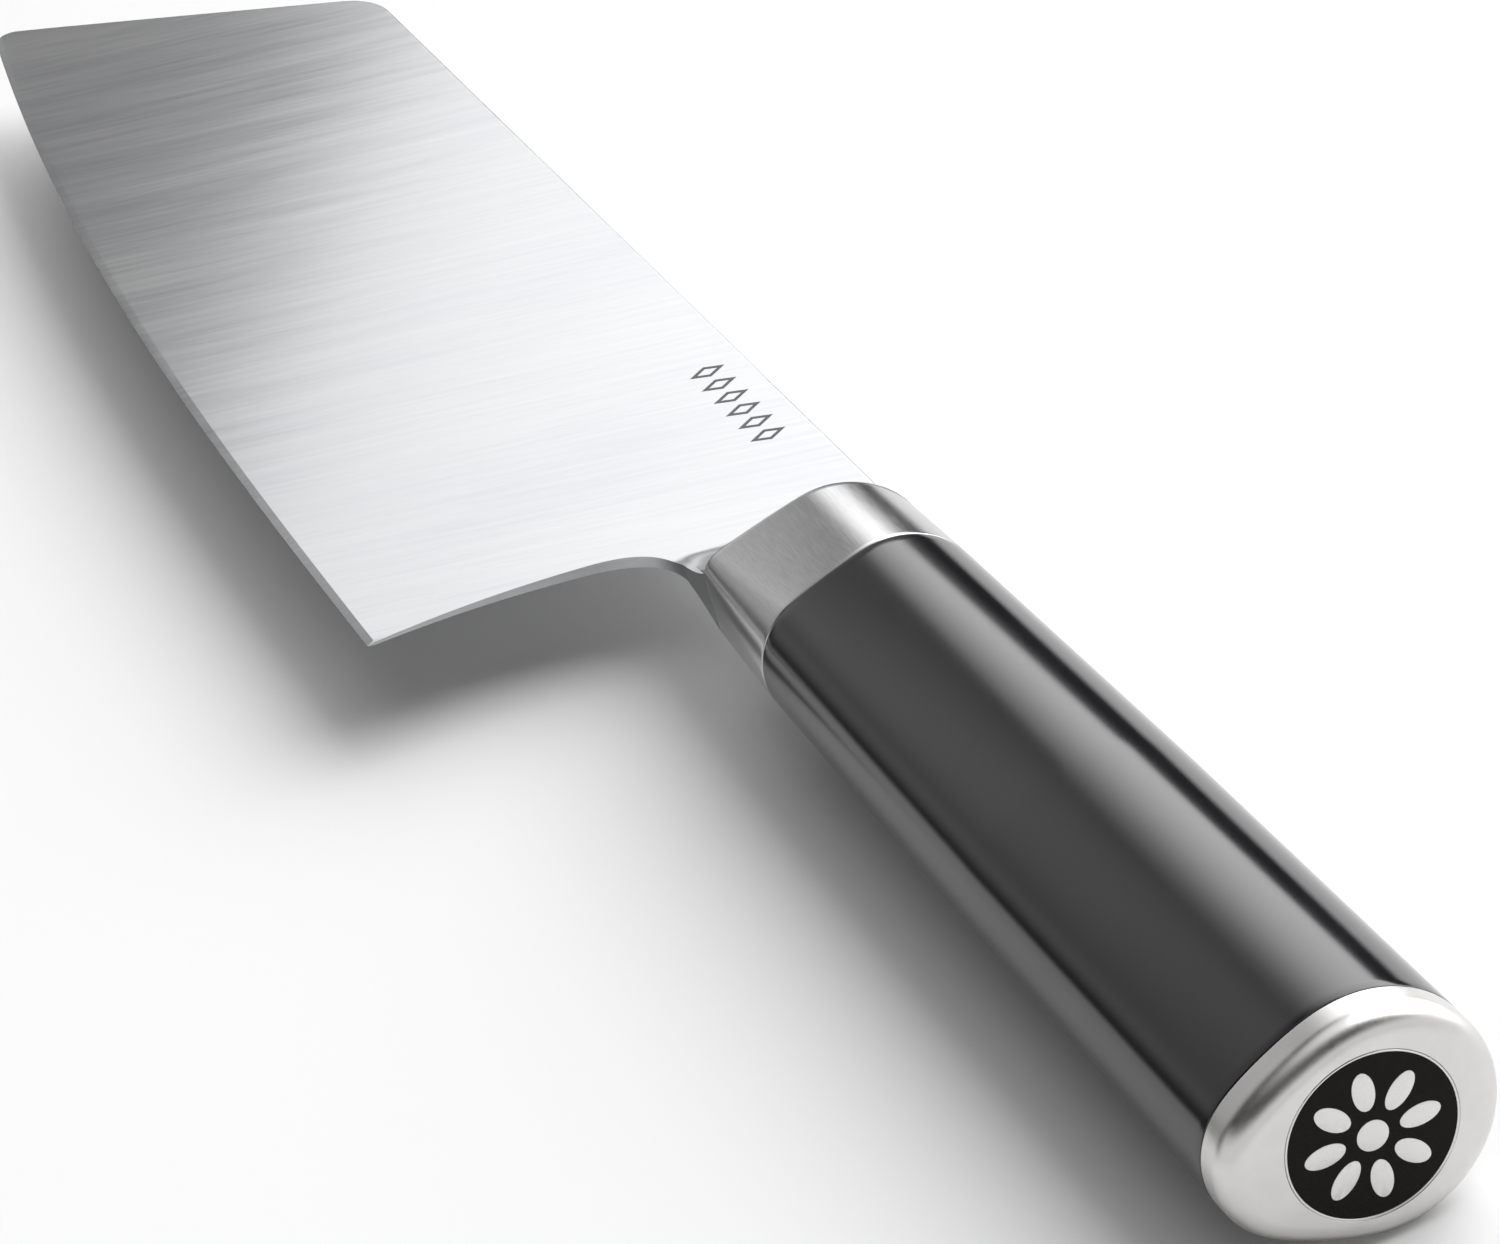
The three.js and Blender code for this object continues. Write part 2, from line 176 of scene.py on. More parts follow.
def along(n, a, b):
    return [lerp(a, b, i / (n - 1)) for i in range(n)]


# -------------------------------------------------------------- mesh makers
def make_object(name, vertices, faces):
    """A smooth-shaded mesh piece that rides on the knife, from knife-frame points."""
    mesh = bpy.data.meshes.new(name)
    mesh.from_pydata([tuple(p) for p in place(vertices)], [], faces)
    mesh.validate()
    mesh.update()
    piece = bpy.data.objects.new(name, mesh)
    bpy.context.scene.collection.objects.link(piece)
    mesh.polygons.foreach_set("use_smooth", [True] * len(mesh.polygons))
    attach(piece, "root")
    return piece


def sharpen(piece, degrees, cheek_degrees=None):
    """Splits the shading at edges whose faces turn by more than a limit.

    cheek_degrees, if given, is the limit toward the toe from CHEEK_END_X.
    """
    work = bmesh.new()
    work.from_mesh(piece.data)
    for edge in work.edges:
        if len(edge.link_faces) != 2:
            continue
        middle = (edge.verts[0].co + edge.verts[1].co) / 2 / MM - ORIGIN
        on_cheek = cheek_degrees is not None and middle.x < CHEEK_END_X
        limit = cheek_degrees if on_cheek else degrees
        edge.smooth = edge.calc_face_angle(0) < math.radians(limit)
    work.to_mesh(piece.data)
    work.free()


def loft_faces(rings, n):
    """Quads between successive closed rings of n points."""
    faces = []
    for r in range(rings - 1):
        for i in range(n):
            j = (i + 1) % n
            faces.append((r * n + i, r * n + j, (r + 1) * n + j, (r + 1) * n + i))
    return faces


def loft(rings):
    """Closed skin over rings of points, with a fan of triangles at each end."""
    n = len(rings[0])
    points = [p for ring in rings for p in ring]
    faces = loft_faces(len(rings), n)
    for ring, base, forward in ((rings[0], 0, False), (rings[-1], len(points) - n, True)):
        hub = len(points)
        points.append(tuple(np.mean(ring, axis=0)))
        for i in range(n):
            j = (i + 1) % n
            pair = (base + i, base + j) if forward else (base + j, base + i)
            faces.append((hub, *pair))
    return points, faces


# ----------------------------------------------------------------- sections
def mix(a, b, t):
    """The section a share t of the way from a to b."""
    return {key: lerp(a[key], b[key], t) for key in a}


def inset(s, d):
    """A section drawn in by d all round."""
    return dict(
        s, top=s["top"] - d, top_r=s["top_r"] - d, bot=s["bot"] + d, bot_r=s["bot_r"] - d
    )


def floor_y(s):
    """Height of the narrow flat between a section's two belly corners."""
    return s["bot"] + s["bot_r"] * (1 - math.cos(s["crease"]))


def section_ring(s):
    """Outline of a section as (y, z): round the spine side, between the belly corners.

    At each facing angle it reaches as far as the spine-side circle or the belly
    circle, whichever stands further out, with the change from one to the other eased.
    """
    end = math.pi - s["crease"]
    ring = []
    for a in along(RING_POINTS, -end, end):
        y, z = math.cos(a), math.sin(a)
        top_y = s["top"] - s["top_r"]
        belly_y = s["bot"] + s["bot_r"]
        belly_z = math.copysign(s["half"], z)
        lead = (top_y * y + s["top_r"] - belly_y * y - belly_z * z - s["bot_r"]) / s["ease"]
        share = 1 / (1 + math.exp(-lead))
        reach = belly_y * y + belly_z * z + s["bot_r"] + s["ease"] * math.log1p(math.exp(lead))
        turn = belly_z * y * (1 - share) - lerp(belly_y, top_y, share) * z
        ring.append((reach * y - turn * z, reach * z + turn * y))
    return ring


def ring_at(x, s):
    return [(x, y, z) for y, z in section_ring(s)]


# -------------------------------------------------------------------- blade
FLOOR_Y = floor_y(COLLAR_FRONT)
BEVEL_SHARE_MAX = 0.3  # of the height, where the blade is low
EASE_SHARE_MAX = 0.6  # of the spine's half thickness
FLARE_BLEND = 1.6  # the higher, the lower on the cheek the flare's start levels out


def edge_y(x):
    return HEEL[1] + TOE_RISE * clamp01((HEEL[0] - x) / EDGE_LENGTH) ** EDGE_SWEEP


def spine_y(x):
    return SPINE_Y_AT_COLLAR + SPINE_SLOPE * (x - COLLAR_FRONT_X)


def cheek_half(x, y):
    """Half thickness of the blade's plain wedge, which also thins toward the toe."""
    return (
        SPINE_HALF
        - WEDGE_PER_MM * (SPINE_Y_AT_COLLAR - y)
        - TAPER_PER_MM * (COLLAR_FRONT_X - x)
    )


def blade_half(x, y):
    """Half thickness of the blade with its edge bevel."""
    above = y - edge_y(x)
    if above >= BEVEL_HEIGHT:
        return cheek_half(x, y)
    crease = cheek_half(x, edge_y(x) + BEVEL_HEIGHT)
    return max(lerp(EDGE_HALF, crease, above / BEVEL_HEIGHT), EDGE_HALF)


def seam_x(y):
    """Where the blade ends at the collar's leaning front."""
    return COLLAR_FRONT_X - COLLAR_LEAN * (COLLAR_FRONT["top"] - y)


def flare(x, v):
    """Share of the collar's section reached at x, at height v from belly to spine."""
    start = lerp(FLARE_START_BELLY, FLARE_START_SPINE, smooth(v * FLARE_BLEND))
    end = seam_x(lerp(FLOOR_Y, COLLAR_FRONT["top"], v))
    power = lerp(FLARE_CURVE_BELLY, FLARE_CURVE_SPINE, v)
    return clamp01((x - start) / (end - start)) ** power


def flare_top_y(x):
    return lerp(spine_y(x), COLLAR_FRONT["top"], flare(x, 1))


def round_corner(a, b, c, radius, n):
    """Arc of n points that rounds the corner of the lines a-b and b-c."""
    a, b, c = (np.array(p, float) for p in (a, b, c))
    to_a = (a - b) / np.linalg.norm(a - b)
    to_c = (c - b) / np.linalg.norm(c - b)
    half = math.acos(float(to_a @ to_c)) / 2
    middle = (to_a + to_c) / np.linalg.norm(to_a + to_c)
    centre = b + middle * radius / math.sin(half)
    reach = radius / math.tan(half)
    start = b + to_a * reach - centre
    end = b + to_c * reach - centre
    turn = math.atan2(start[0] * end[1] - start[1] * end[0], float(start @ end))
    arc = []
    for angle in along(n, 0, turn):
        c0, s0 = math.cos(angle), math.sin(angle)
        arc.append((
            centre[0] + start[0] * c0 - start[1] * s0,
            centre[1] + start[0] * s0 + start[1] * c0,
        ))
    return arc


def bezier(points, n):
    """Cubic curve of n points over four control points."""
    p = [np.array(q, float) for q in points]
    curve = []
    for t in along(n, 0, 1):
        u = 1 - t
        q = u**3 * p[0] + 3 * u * u * t * p[1] + 3 * u * t * t * p[2] + t**3 * p[3]
        curve.append(tuple(q))
    return curve


def part_way(a, b, t):
    return lerp(a[0], b[0], t), lerp(a[1], b[1], t)


def segment(n, a, b):
    """Straight run of n points from a to b."""
    return [part_way(a, b, t) for t in along(n, 0, 1)]


def blade_stations():
    """Matching points on the lower and upper outline, from the toe to the collar."""
    toe_x = HEEL[0] - EDGE_LENGTH
    tip = (toe_x, edge_y(toe_x))
    top_x = (spine_y(0) - tip[1] + TOE_LINE_SLOPE * toe_x) / (TOE_LINE_SLOPE - SPINE_SLOPE)
    crown = (top_x, spine_y(top_x))
    on_edge = (toe_x + NOSE_REACH, edge_y(toe_x + NOSE_REACH))
    on_spine = (SPINE_BREAK_X, spine_y(SPINE_BREAK_X))
    nose = round_corner(crown, tip, on_edge, TOE_TIP_RADIUS, 26)
    upper_nose = nose[:13][::-1]
    lower_nose = nose[13:]
    crest = round_corner(tip, crown, on_spine, TOE_TOP_RADIUS, 24)
    toe_line = segment(15, upper_nose[-1], crest[0])[1:-1]

    toe_steps = len(toe_line) + len(crest)
    spread = [t**TOE_SPREAD for t in along(toe_steps + 1, 0, 1)][1:]
    lower_toe = [lerp(lower_nose[-1][0], EDGE_BREAK_X, t) for t in spread]
    lower_toe = [(x, edge_y(x)) for x in lower_toe]
    lower_edge = [(x, edge_y(x)) for x in along(55, EDGE_BREAK_X, HEEL[0])][1:]
    upper_spine = [(x, spine_y(x)) for x in along(55, crest[-1][0], SPINE_BREAK_X)][1:]

    choil = [
        (HEEL[0] + CHOIL_LEAN * t**CHOIL_CURVE, lerp(HEEL[1], CHOIL_TOP_Y, t))
        for t in along(28, 0, 1)
    ]
    above_choil = [(x, spine_y(x)) for x in along(28, SPINE_BREAK_X, FLARE_BREAK_X)][1:]
    front = (seam_x(FLOOR_Y), FLOOR_Y)
    belly_start = (BELLY_START_X, FLOOR_Y)
    corner = bezier([
        choil[-1],
        part_way(choil[-1], CHOIL_PULL, CHOIL_PULL_SHARES[0]),
        part_way(CHOIL_PULL, belly_start, CHOIL_PULL_SHARES[1]),
        belly_start,
    ], 31)[1:]
    belly = segment(27, corner[-1], front)[1:]
    above_corner = [(x, flare_top_y(x)) for x in along(31, FLARE_BREAK_X, BELLY_START_X)]
    above_belly = [(x, flare_top_y(x)) for x in along(27, BELLY_START_X, COLLAR_FRONT_X)]

    lower = lower_nose + lower_toe + lower_edge + choil[1:] + corner + belly
    upper = (
        upper_nose + toe_line + crest + upper_spine + above_choil
        + above_corner[1:] + above_belly[1:]
    )
    return list(zip(lower, upper))


def blade_ring(low, high):
    """One cross-section of the blade, patterned on the collar's front section."""
    collar_height = COLLAR_FRONT["top"] - FLOOR_Y
    height = math.dist(low, high)
    ring = []
    for y, z in section_ring(COLLAR_FRONT):
        v = (y - FLOOR_Y) / collar_height
        swell = flare(low[0], v)
        lift = min(BEVEL_HEIGHT / height, BEVEL_SHARE_MAX) * (1 - swell) if v > 1e-6 else 0
        t = lift + (1 - lift) * v
        x, py = part_way(low, high, t)
        below_top = (1 - t) * height
        ease = 0.0
        if below_top < SPINE_EASE:
            ease = SPINE_EASE * (1 - math.sqrt(1 - (1 - below_top / SPINE_EASE) ** 2))
        flat = max(blade_half(x, py) - min(ease, SPINE_HALF * EASE_SHARE_MAX), EDGE_HALF)
        half = lerp(flat, abs(z), flare(x, v))
        ring.append((x, py, math.copysign(half, z)))
    return ring


def make_blade():
    points, faces = loft([blade_ring(low, high) for low, high in blade_stations()])
    blade = make_object("blade_forged", points, faces)
    sharpen(blade, CREASE_FLARE, CREASE_CHEEK)
    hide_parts("blade")
    return blade


# ------------------------------------------------- collar, grip and end cap
def eased(length, front, rear, steps, arc_steps=6):
    """(distance along, inset) of rings over a body with rounded rims."""
    quarter = along(arc_steps, 0, math.pi / 2)
    head = [(front * (1 - math.cos(a)), front * (1 - math.sin(a))) for a in quarter]
    tail = [(length - rear * (1 - math.cos(a)), rear * (1 - math.sin(a))) for a in quarter]
    body = [(u, 0.0) for u in along(steps, front, length - rear)][1:-1]
    return head + body + tail[::-1]


def make_collar():
    length = -COLLAR_FRONT_X
    rings = []
    for u, depth in eased(length, RIM_EASE, RIM_EASE, 30):
        t = u / length
        ring = section_ring(inset(mix(COLLAR_FRONT, COLLAR_REAR, t), depth))
        rings.append([(lerp(seam_x(y) + SEAM, -SEAM, t), y, z) for y, z in ring])
    collar = make_object("collar_forged", *loft(rings))
    sharpen(collar, CREASE_STEEL)
    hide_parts("collar")
    return collar


def grip_section(t):
    """Section of the grip a share t of the way from the collar to the cap."""
    if t < 0.5:
        return mix(COLLAR_REAR, GRIP_MIDDLE, t * 2)
    return mix(GRIP_MIDDLE, GRIP_REAR, t * 2 - 1)


def make_grip():
    length = GRIP_LENGTH - 2 * SEAM
    rings = [
        ring_at(SEAM + u, inset(grip_section(u / length), depth))
        for u, depth in eased(length, RIM_EASE, RIM_EASE, 90)
    ]
    grip = make_object("grip_moulded", *loft(rings))
    sharpen(grip, CREASE_GRIP)
    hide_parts("grip")
    return grip


def circle(x, radius, like):
    """Ring of a circle about the disc's axis, matched in angle to another ring."""
    ring = []
    for _, y, z in like:
        angle = math.atan2(z, y - AXIS_Y)
        ring.append((x, AXIS_Y + radius * math.cos(angle), radius * math.sin(angle)))
    return ring


def make_end_cap():
    start = GRIP_LENGTH + SEAM
    length = BUTT_X - start
    rings = [
        ring_at(start + u, inset(GRIP_REAR, depth))
        for u, depth in eased(length, RIM_EASE, CAP_EDGE_RADIUS, 8, arc_steps=20)
    ]
    mouth = DISC_RADIUS + SEAM
    for x, radius in (
        (BUTT_X, mouth + MOUTH_EASE),
        (BUTT_X - MOUTH_EASE, mouth),
        (BUTT_X - DISC_DEPTH - SEAM, mouth),
    ):
        rings.append(circle(x, radius, rings[-1]))
    cap = make_object("end_cap_turned", *loft(rings))
    sharpen(cap, CREASE_STEEL)
    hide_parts("end_cap")
    return cap


# ------------------------------------------------------------- inlaid disc
def turned(profile, n=144):
    """Rings of a turned shape about the disc's axis, from (x, radius) pairs."""
    angles = [2 * math.pi * i / n for i in range(n)]
    return [
        [(x, AXIS_Y + r * math.cos(a), r * math.sin(a)) for a in angles] for x, r in profile
    ]


def boss(x0, x1, centre, half_length, half_width, turn, n=64):
    """Low raised shape with an eased top edge, turned about the disc's axis."""
    rings = []
    step = DISC_EASE * 0.3
    for x, depth in ((x0, 0), (x1 - DISC_EASE, 0), (x1 - step, step), (x1, DISC_EASE)):
        ring = []
        for i in range(n):
            a = 2 * math.pi * i / n
            y = centre + (half_length - depth) * math.cos(a)
            z = (half_width - depth) * math.sin(a)
            ring.append((
                x,
                AXIS_Y + y * math.cos(turn) - z * math.sin(turn),
                y * math.sin(turn) + z * math.cos(turn),
            ))
        rings.append(ring)
    return loft(rings)


def join(parts):
    """One set of points and faces out of several."""
    points, faces = [], []
    for more_points, more_faces in parts:
        base = len(points)
        points += more_points
        faces += [tuple(base + i for i in face) for face in more_faces]
    return points, faces


def make_disc():
    back = BUTT_X - DISC_DEPTH
    well = BUTT_X - WELL_DEPTH
    inner = DISC_RADIUS - DISC_RIM
    dish = loft(turned([
        (back, DISC_RADIUS),
        (BUTT_X - DISC_EASE, DISC_RADIUS),
        (BUTT_X, DISC_RADIUS - DISC_EASE),
        (BUTT_X, inner + WELL_EASE),
        (BUTT_X - WELL_EASE, inner),
        (well, inner),
    ]))
    root = well - PETAL_SINK
    petals = [
        boss(root, BUTT_X, PETAL_REACH, PETAL_HALF_LENGTH, PETAL_HALF_WIDTH,
             2 * math.pi * i / PETALS)
        for i in range(PETALS)
    ]
    dot = boss(root, BUTT_X, 0, DOT_RADIUS, DOT_RADIUS, 0)
    disc = make_object("emblem_coin", *join([dish, *petals, dot]))
    sharpen(disc, CREASE_STEEL)
    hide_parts("emblem_disc")
    return disc


def make_enamel():
    top = BUTT_X - ENAMEL_DROP
    radius = DISC_RADIUS - DISC_RIM - ENAMEL_CLEARANCE
    enamel = make_object("emblem_filling", *loft(turned([
        (BUTT_X - WELL_DEPTH + ENAMEL_CLEARANCE, radius),
        (top, radius),
        (top, radius * 0.75),
        (top, radius * 0.4),
    ])))
    sharpen(enamel, CREASE_STEEL)
    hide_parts("emblem_enamel")
    return enamel


# ------------------------------------------------------------- etched marks
MARKS = 6
MARK_START_X = -65.2
MARK_PITCH = 3.75
MARK_Y = 5.8
MARK_HALF = (1.35, 2.25)
MARK_STROKE = 0.48
MARK_PROUD = 0.012


def make_marks():
    """Row of open lozenges on the upper cheek, as thin as an etched oxide film."""
    hx, hy = MARK_HALF
    slim = 1 - MARK_STROKE * math.hypot(hx, hy) / (hx * hy)
    parts = []
    for k in range(MARKS):
        cx = MARK_START_X + k * MARK_PITCH
        points = []
        for scale in (1, slim):
            for dx, dy in ((hx, 0), (0, hy), (-hx, 0), (0, -hy)):
                x, y = cx + dx * scale, MARK_Y + dy * scale
                points.append((x, y, cheek_half(x, y) + MARK_PROUD))
        points += [(x, y, z - 3 * MARK_PROUD) for x, y, z in points]
        faces = []
        for i in range(4):
            j = (i + 1) % 4
            faces += [
                (i, j, 4 + j, 4 + i),
                (8 + j, 8 + i, 12 + i, 12 + j),
                (j, i, 8 + i, 8 + j),
                (4 + i, 4 + j, 12 + j, 12 + i),
            ]
        parts.append((points, faces))
    marks = make_object("etched_marks", *join(parts))
    sharpen(marks, CREASE_MARKS)
    return marks


# ---------------------------------------------------------------- materials
class Nodes:
    """The node tree of a material or a world, with short ways to add to it."""

    def __init__(self, owner):
        owner.use_nodes = True
        self.tree = owner.node_tree

    def add(self, kind, **settings):
        made = self.tree.nodes.new(kind)
        for key, value in settings.items():
            setattr(made, key, value)
        return made

    def link(self, source, target):
        self.tree.links.new(source, target)

    def math(self, operation, a, b):
        made = self.add("ShaderNodeMath", operation=operation)
        for socket, value in zip(made.inputs, (a, b)):
            if isinstance(value, (int, float)):
                socket.default_value = value
            else:
                self.link(value, socket)
        return made.outputs["Value"]

    def dot(self, vector, direction):
        made = self.add("ShaderNodeVectorMath", operation="DOT_PRODUCT")
        self.link(vector, made.inputs[0])
        made.inputs[1].default_value = direction
        return made.outputs["Value"]

    def remap(self, value, low, high, source=(0.25, 0.75), interpolation="LINEAR"):
        """Takes a value from the source range, by default a noise's, to low and high."""
        made = self.add("ShaderNodeMapRange", interpolation_type=interpolation)
        names = ("From Min", "From Max", "To Min", "To Max")
        for name, number in zip(names, (*source, low, high)):
            made.inputs[name].default_value = number
        self.link(value, made.inputs["Value"])
        return made.outputs["Result"]

    def blend(self, value, low, high, source):
        """As remap, with soft ends."""
        return self.remap(value, low, high, source, "SMOOTHSTEP")


class Look(Nodes):
    """A node material around one Principled shader, in row-frame coordinates."""

    def __init__(self, name, **values):
        self.material = bpy.data.materials.new(name)
        super().__init__(self.material)
        self.shader = self.tree.nodes["Principled BSDF"]
        for key, value in values.items():
            self.shader.inputs[key].default_value = value
        self.coordinates = self.add("ShaderNodeTexCoord").outputs["Object"]
        self.normal = None

    def stretched(self, cell_mm, angle=0.0):
        """Coordinates scaled to cells of that size, turned about Z by angle."""
        turn = self.add("ShaderNodeMapping")
        turn.inputs["Rotation"].default_value = (0, 0, angle)
        size = self.add("ShaderNodeMapping")
        size.inputs["Scale"].default_value = [1 / (c * MM) for c in cell_mm]
        self.link(self.coordinates, turn.inputs["Vector"])
        self.link(turn.outputs["Vector"], size.inputs["Vector"])
        return size.outputs["Vector"]

    def noise(self, cell_mm, angle=0.0, detail=3, roughness=0.6):
        """Noise in cells of that size, turned about Z by angle."""
        made = self.add("ShaderNodeTexNoise")
        made.inputs["Scale"].default_value = 1
        made.inputs["Detail"].default_value = detail
        made.inputs["Roughness"].default_value = roughness
        self.link(self.stretched(cell_mm, angle), made.inputs["Vector"])
        return made.outputs["Fac"]

    def weigh(self, a, b, share):
        """Sum of two values, of which b has that share."""
        rest = self.math("MULTIPLY", a, 1 - share)
        return self.math("ADD", rest, self.math("MULTIPLY", b, share))

    def ramp(self, value, low, high):
        """Colour from low to high as a value goes from 0 to 1."""
        made = self.add("ShaderNodeMix", data_type="RGBA")
        made.inputs["A"].default_value = (*low, 1)
        made.inputs["B"].default_value = (*high, 1)
        self.link(value, made.inputs["Factor"])
        return made.outputs["Result"]

    def colour(self, value, low, high):
        """Base colour from low to high along a noise."""
        mixed = self.ramp(self.remap(value, 0, 1), low, high)
        self.link(mixed, self.shader.inputs["Base Color"])

    def rough(self, fine, low, high, cloud=None, swing=0.0):
        """Roughness from low to high, up to swing more or less in a slower pattern."""
        value = self.remap(fine, low, high)
        if cloud is not None:
            value = self.math("ADD", value, self.remap(cloud, -swing, swing))
        self.link(value, self.shader.inputs["Roughness"])

    def bump(self, value, height_mm, strength=1.0):
        made = self.add("ShaderNodeBump")
        made.inputs["Distance"].default_value = height_mm * MM
        made.inputs["Strength"].default_value = strength
        self.link(value, made.inputs["Height"])
        if self.normal:
            self.link(self.normal, made.inputs["Normal"])
        self.normal = made.outputs["Normal"]
        self.link(self.normal, self.shader.inputs["Normal"])

    def distance(self, direction):
        """Distance in millimetres along a direction from the knife's origin."""
        total = self.dot(self.coordinates, direction / MM)
        return self.math("SUBTRACT", total, ORIGIN.dot(direction))

    def tilt(self, slope):
        """Leans the surface normal lengthwise by a slope."""
        lean = self.add("ShaderNodeCombineXYZ")
        total = self.add("ShaderNodeVectorMath", operation="ADD")
        unit = self.add("ShaderNodeVectorMath", operation="NORMALIZE")
        self.link(slope, lean.inputs["X"])
        self.link(self.add("ShaderNodeNewGeometry").outputs["Normal"], total.inputs[0])
        self.link(lean.outputs["Vector"], total.inputs[1])
        self.link(total.outputs["Vector"], unit.inputs[0])
        self.normal = unit.outputs["Vector"]

    def scaled(self, colour, factor):
        """A colour made darker or lighter by a factor."""
        made = self.add("ShaderNodeVectorMath", operation="SCALE")
        self.link(colour, made.inputs["Vector"])
        self.link(factor, made.inputs["Scale"])
        return made.outputs["Vector"]

    def tangent(self, direction):
        """Sets the direction that the shader's anisotropy runs in."""
        made = self.add("ShaderNodeCombineXYZ")
        for socket, value in zip(made.inputs, direction):
            socket.default_value = value
        self.link(made.outputs["Vector"], self.shader.inputs["Tangent"])


GRIND_LEAN = math.radians(22)  # grinding lines lean from square across to the toe line
SLANT = Vector((0.485, 0.874, 0))  # across the faint diagonal change of the cheek's plane
SLANT_ZONE = (-120, -50)  # along that direction, from the knife's origin
SLANT_TILT = (-0.025, 0.035)  # slope of the cheek lengthwise before and after it
TOE_SHADE_ZONE = (-133, -72)  # along it too: the toe side is painted darker, a painted shade standing in for its dimmer reflection
TOE_SHADE_LEVEL = 0.55
BLADE_TONES = (0.385, 0.392, 0.407), (0.475, 0.477, 0.482)  # faintly blue where dark


def blade_look():
    look = Look("ground_blade_steel", Metallic=1.0, Anisotropic=0.5)
    line = math.pi / 2 - GRIND_LEAN
    fine = look.noise((22, 0.16, 0.16), -line, detail=2)
    scratch = look.noise((30, 0.9, 0.9), -line, detail=3)
    patches = look.noise((46, 9, 9), -line, detail=2)
    grain = look.weigh(fine, scratch, 0.55)
    across = look.distance(SLANT)
    cloudy = look.weigh(grain, patches, 0.4)
    tone = look.ramp(look.remap(cloudy, 0, 1, (0.36, 0.64)), *BLADE_TONES)
    # painted shade: the base colour is darkened toward the toe, standing in for the dimmer
    # reflection there
    painted_toe_shade = look.blend(across, TOE_SHADE_LEVEL, 1.0, TOE_SHADE_ZONE)
    look.link(look.scaled(tone, painted_toe_shade), look.shader.inputs["Base Color"])
    look.rough(grain, 0.17, 0.22, patches, 0.015)
    look.tilt(look.blend(across, *SLANT_TILT, SLANT_ZONE))
    look.bump(patches, 0.05)
    look.bump(grain, 0.004, 0.6)
    look.tangent((math.sin(line), -math.cos(line), 0))
    return look.material


def collar_look():
    look = Look("brushed_collar_steel", Metallic=1.0)
    fine = look.noise((9, 0.12, 0.12), detail=2)
    cloud = look.noise((7, 3, 3), detail=2)
    look.colour(fine, (0.45, 0.45, 0.455), (0.53, 0.53, 0.535))
    look.rough(fine, 0.16, 0.21, cloud, 0.02)
    look.bump(fine, 0.002, 0.5)
    return look.material


def cap_look():
    look = Look("satin_cap_steel", Metallic=1.0)
    fine = look.noise((0.3, 0.3, 0.3), detail=3)
    cloud = look.noise((4, 4, 4), detail=2)
    look.colour(cloud, (0.64, 0.63, 0.62), (0.70, 0.69, 0.68))
    look.rough(fine, 0.28, 0.36, cloud, 0.02)
    look.bump(fine, 0.004, 0.4)
    return look.material


def grip_look():
    look = Look("black_satin_polymer", **{"Specular IOR Level": 0.75})
    pore = look.noise((0.5, 0.28, 0.28), detail=4, roughness=0.7)
    cloud = look.noise((14, 5, 5), detail=2)
    look.colour(cloud, (0.003, 0.003, 0.005), (0.005, 0.005, 0.007))
    look.rough(pore, 0.10, 0.14, cloud, 0.01)
    look.bump(pore, 0.002, 0.5)
    return look.material


def coin_look():
    look = Look("coin_steel", Metallic=1.0)
    fine = look.noise((0.2, 0.2, 0.2), detail=3)
    look.colour(fine, (0.66, 0.65, 0.64), (0.74, 0.73, 0.72))
    look.rough(fine, 0.28, 0.38)
    look.bump(fine, 0.003, 0.4)
    return look.material


def enamel_look():
    look = Look("black_enamel", **{"Specular IOR Level": 0.1})
    ripple = look.noise((1.5, 1.5, 1.5), detail=3)
    look.colour(ripple, (0.004, 0.003, 0.0025), (0.007, 0.005, 0.004))
    look.rough(ripple, 0.2, 0.32)
    look.bump(ripple, 0.01, 0.3)
    return look.material


def mark_look():
    look = Look("etched_oxide", Metallic=0.3)
    speck = look.noise((0.25, 0.25, 0.25), detail=3)
    look.colour(speck, (0.07, 0.07, 0.075), (0.12, 0.12, 0.125))
    look.rough(speck, 0.5, 0.65)
    look.bump(speck, 0.004, 0.4)
    return look.material


def hidden_metal_look(name, low, high):
    look = Look(name, Metallic=1.0)
    mill = look.noise((5, 0.3, 0.3), detail=3)
    look.colour(mill, low, high)
    look.rough(mill, 0.35, 0.5)
    look.bump(mill, 0.01, 0.5)
    return look.material


def resin_look():
    look = Look("cast_resin", **{"Specular IOR Level": 0.4})
    bubble = look.noise((1.2, 1.2, 1.2), detail=4)
    look.colour(bubble, (0.20, 0.18, 0.12), (0.30, 0.27, 0.19))
    look.rough(bubble, 0.4, 0.6)
    look.bump(bubble, 0.05, 0.4)
    return look.material


def dress(piece, material):
    piece.data.materials.clear()
    piece.data.materials.append(material)


def dress_node(name, material):
    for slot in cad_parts[name].material_slots:
        slot.material = material


# ------------------------------------------------------------------- stage
FLOOR_HALF = 4.5  # metres
FLOOR_POOL_RANGE = (0.16, 0.6)  # metres from the knife's middle between which the floor's painted pool of light dims
FLOOR_POOL_EDGE = 0.55


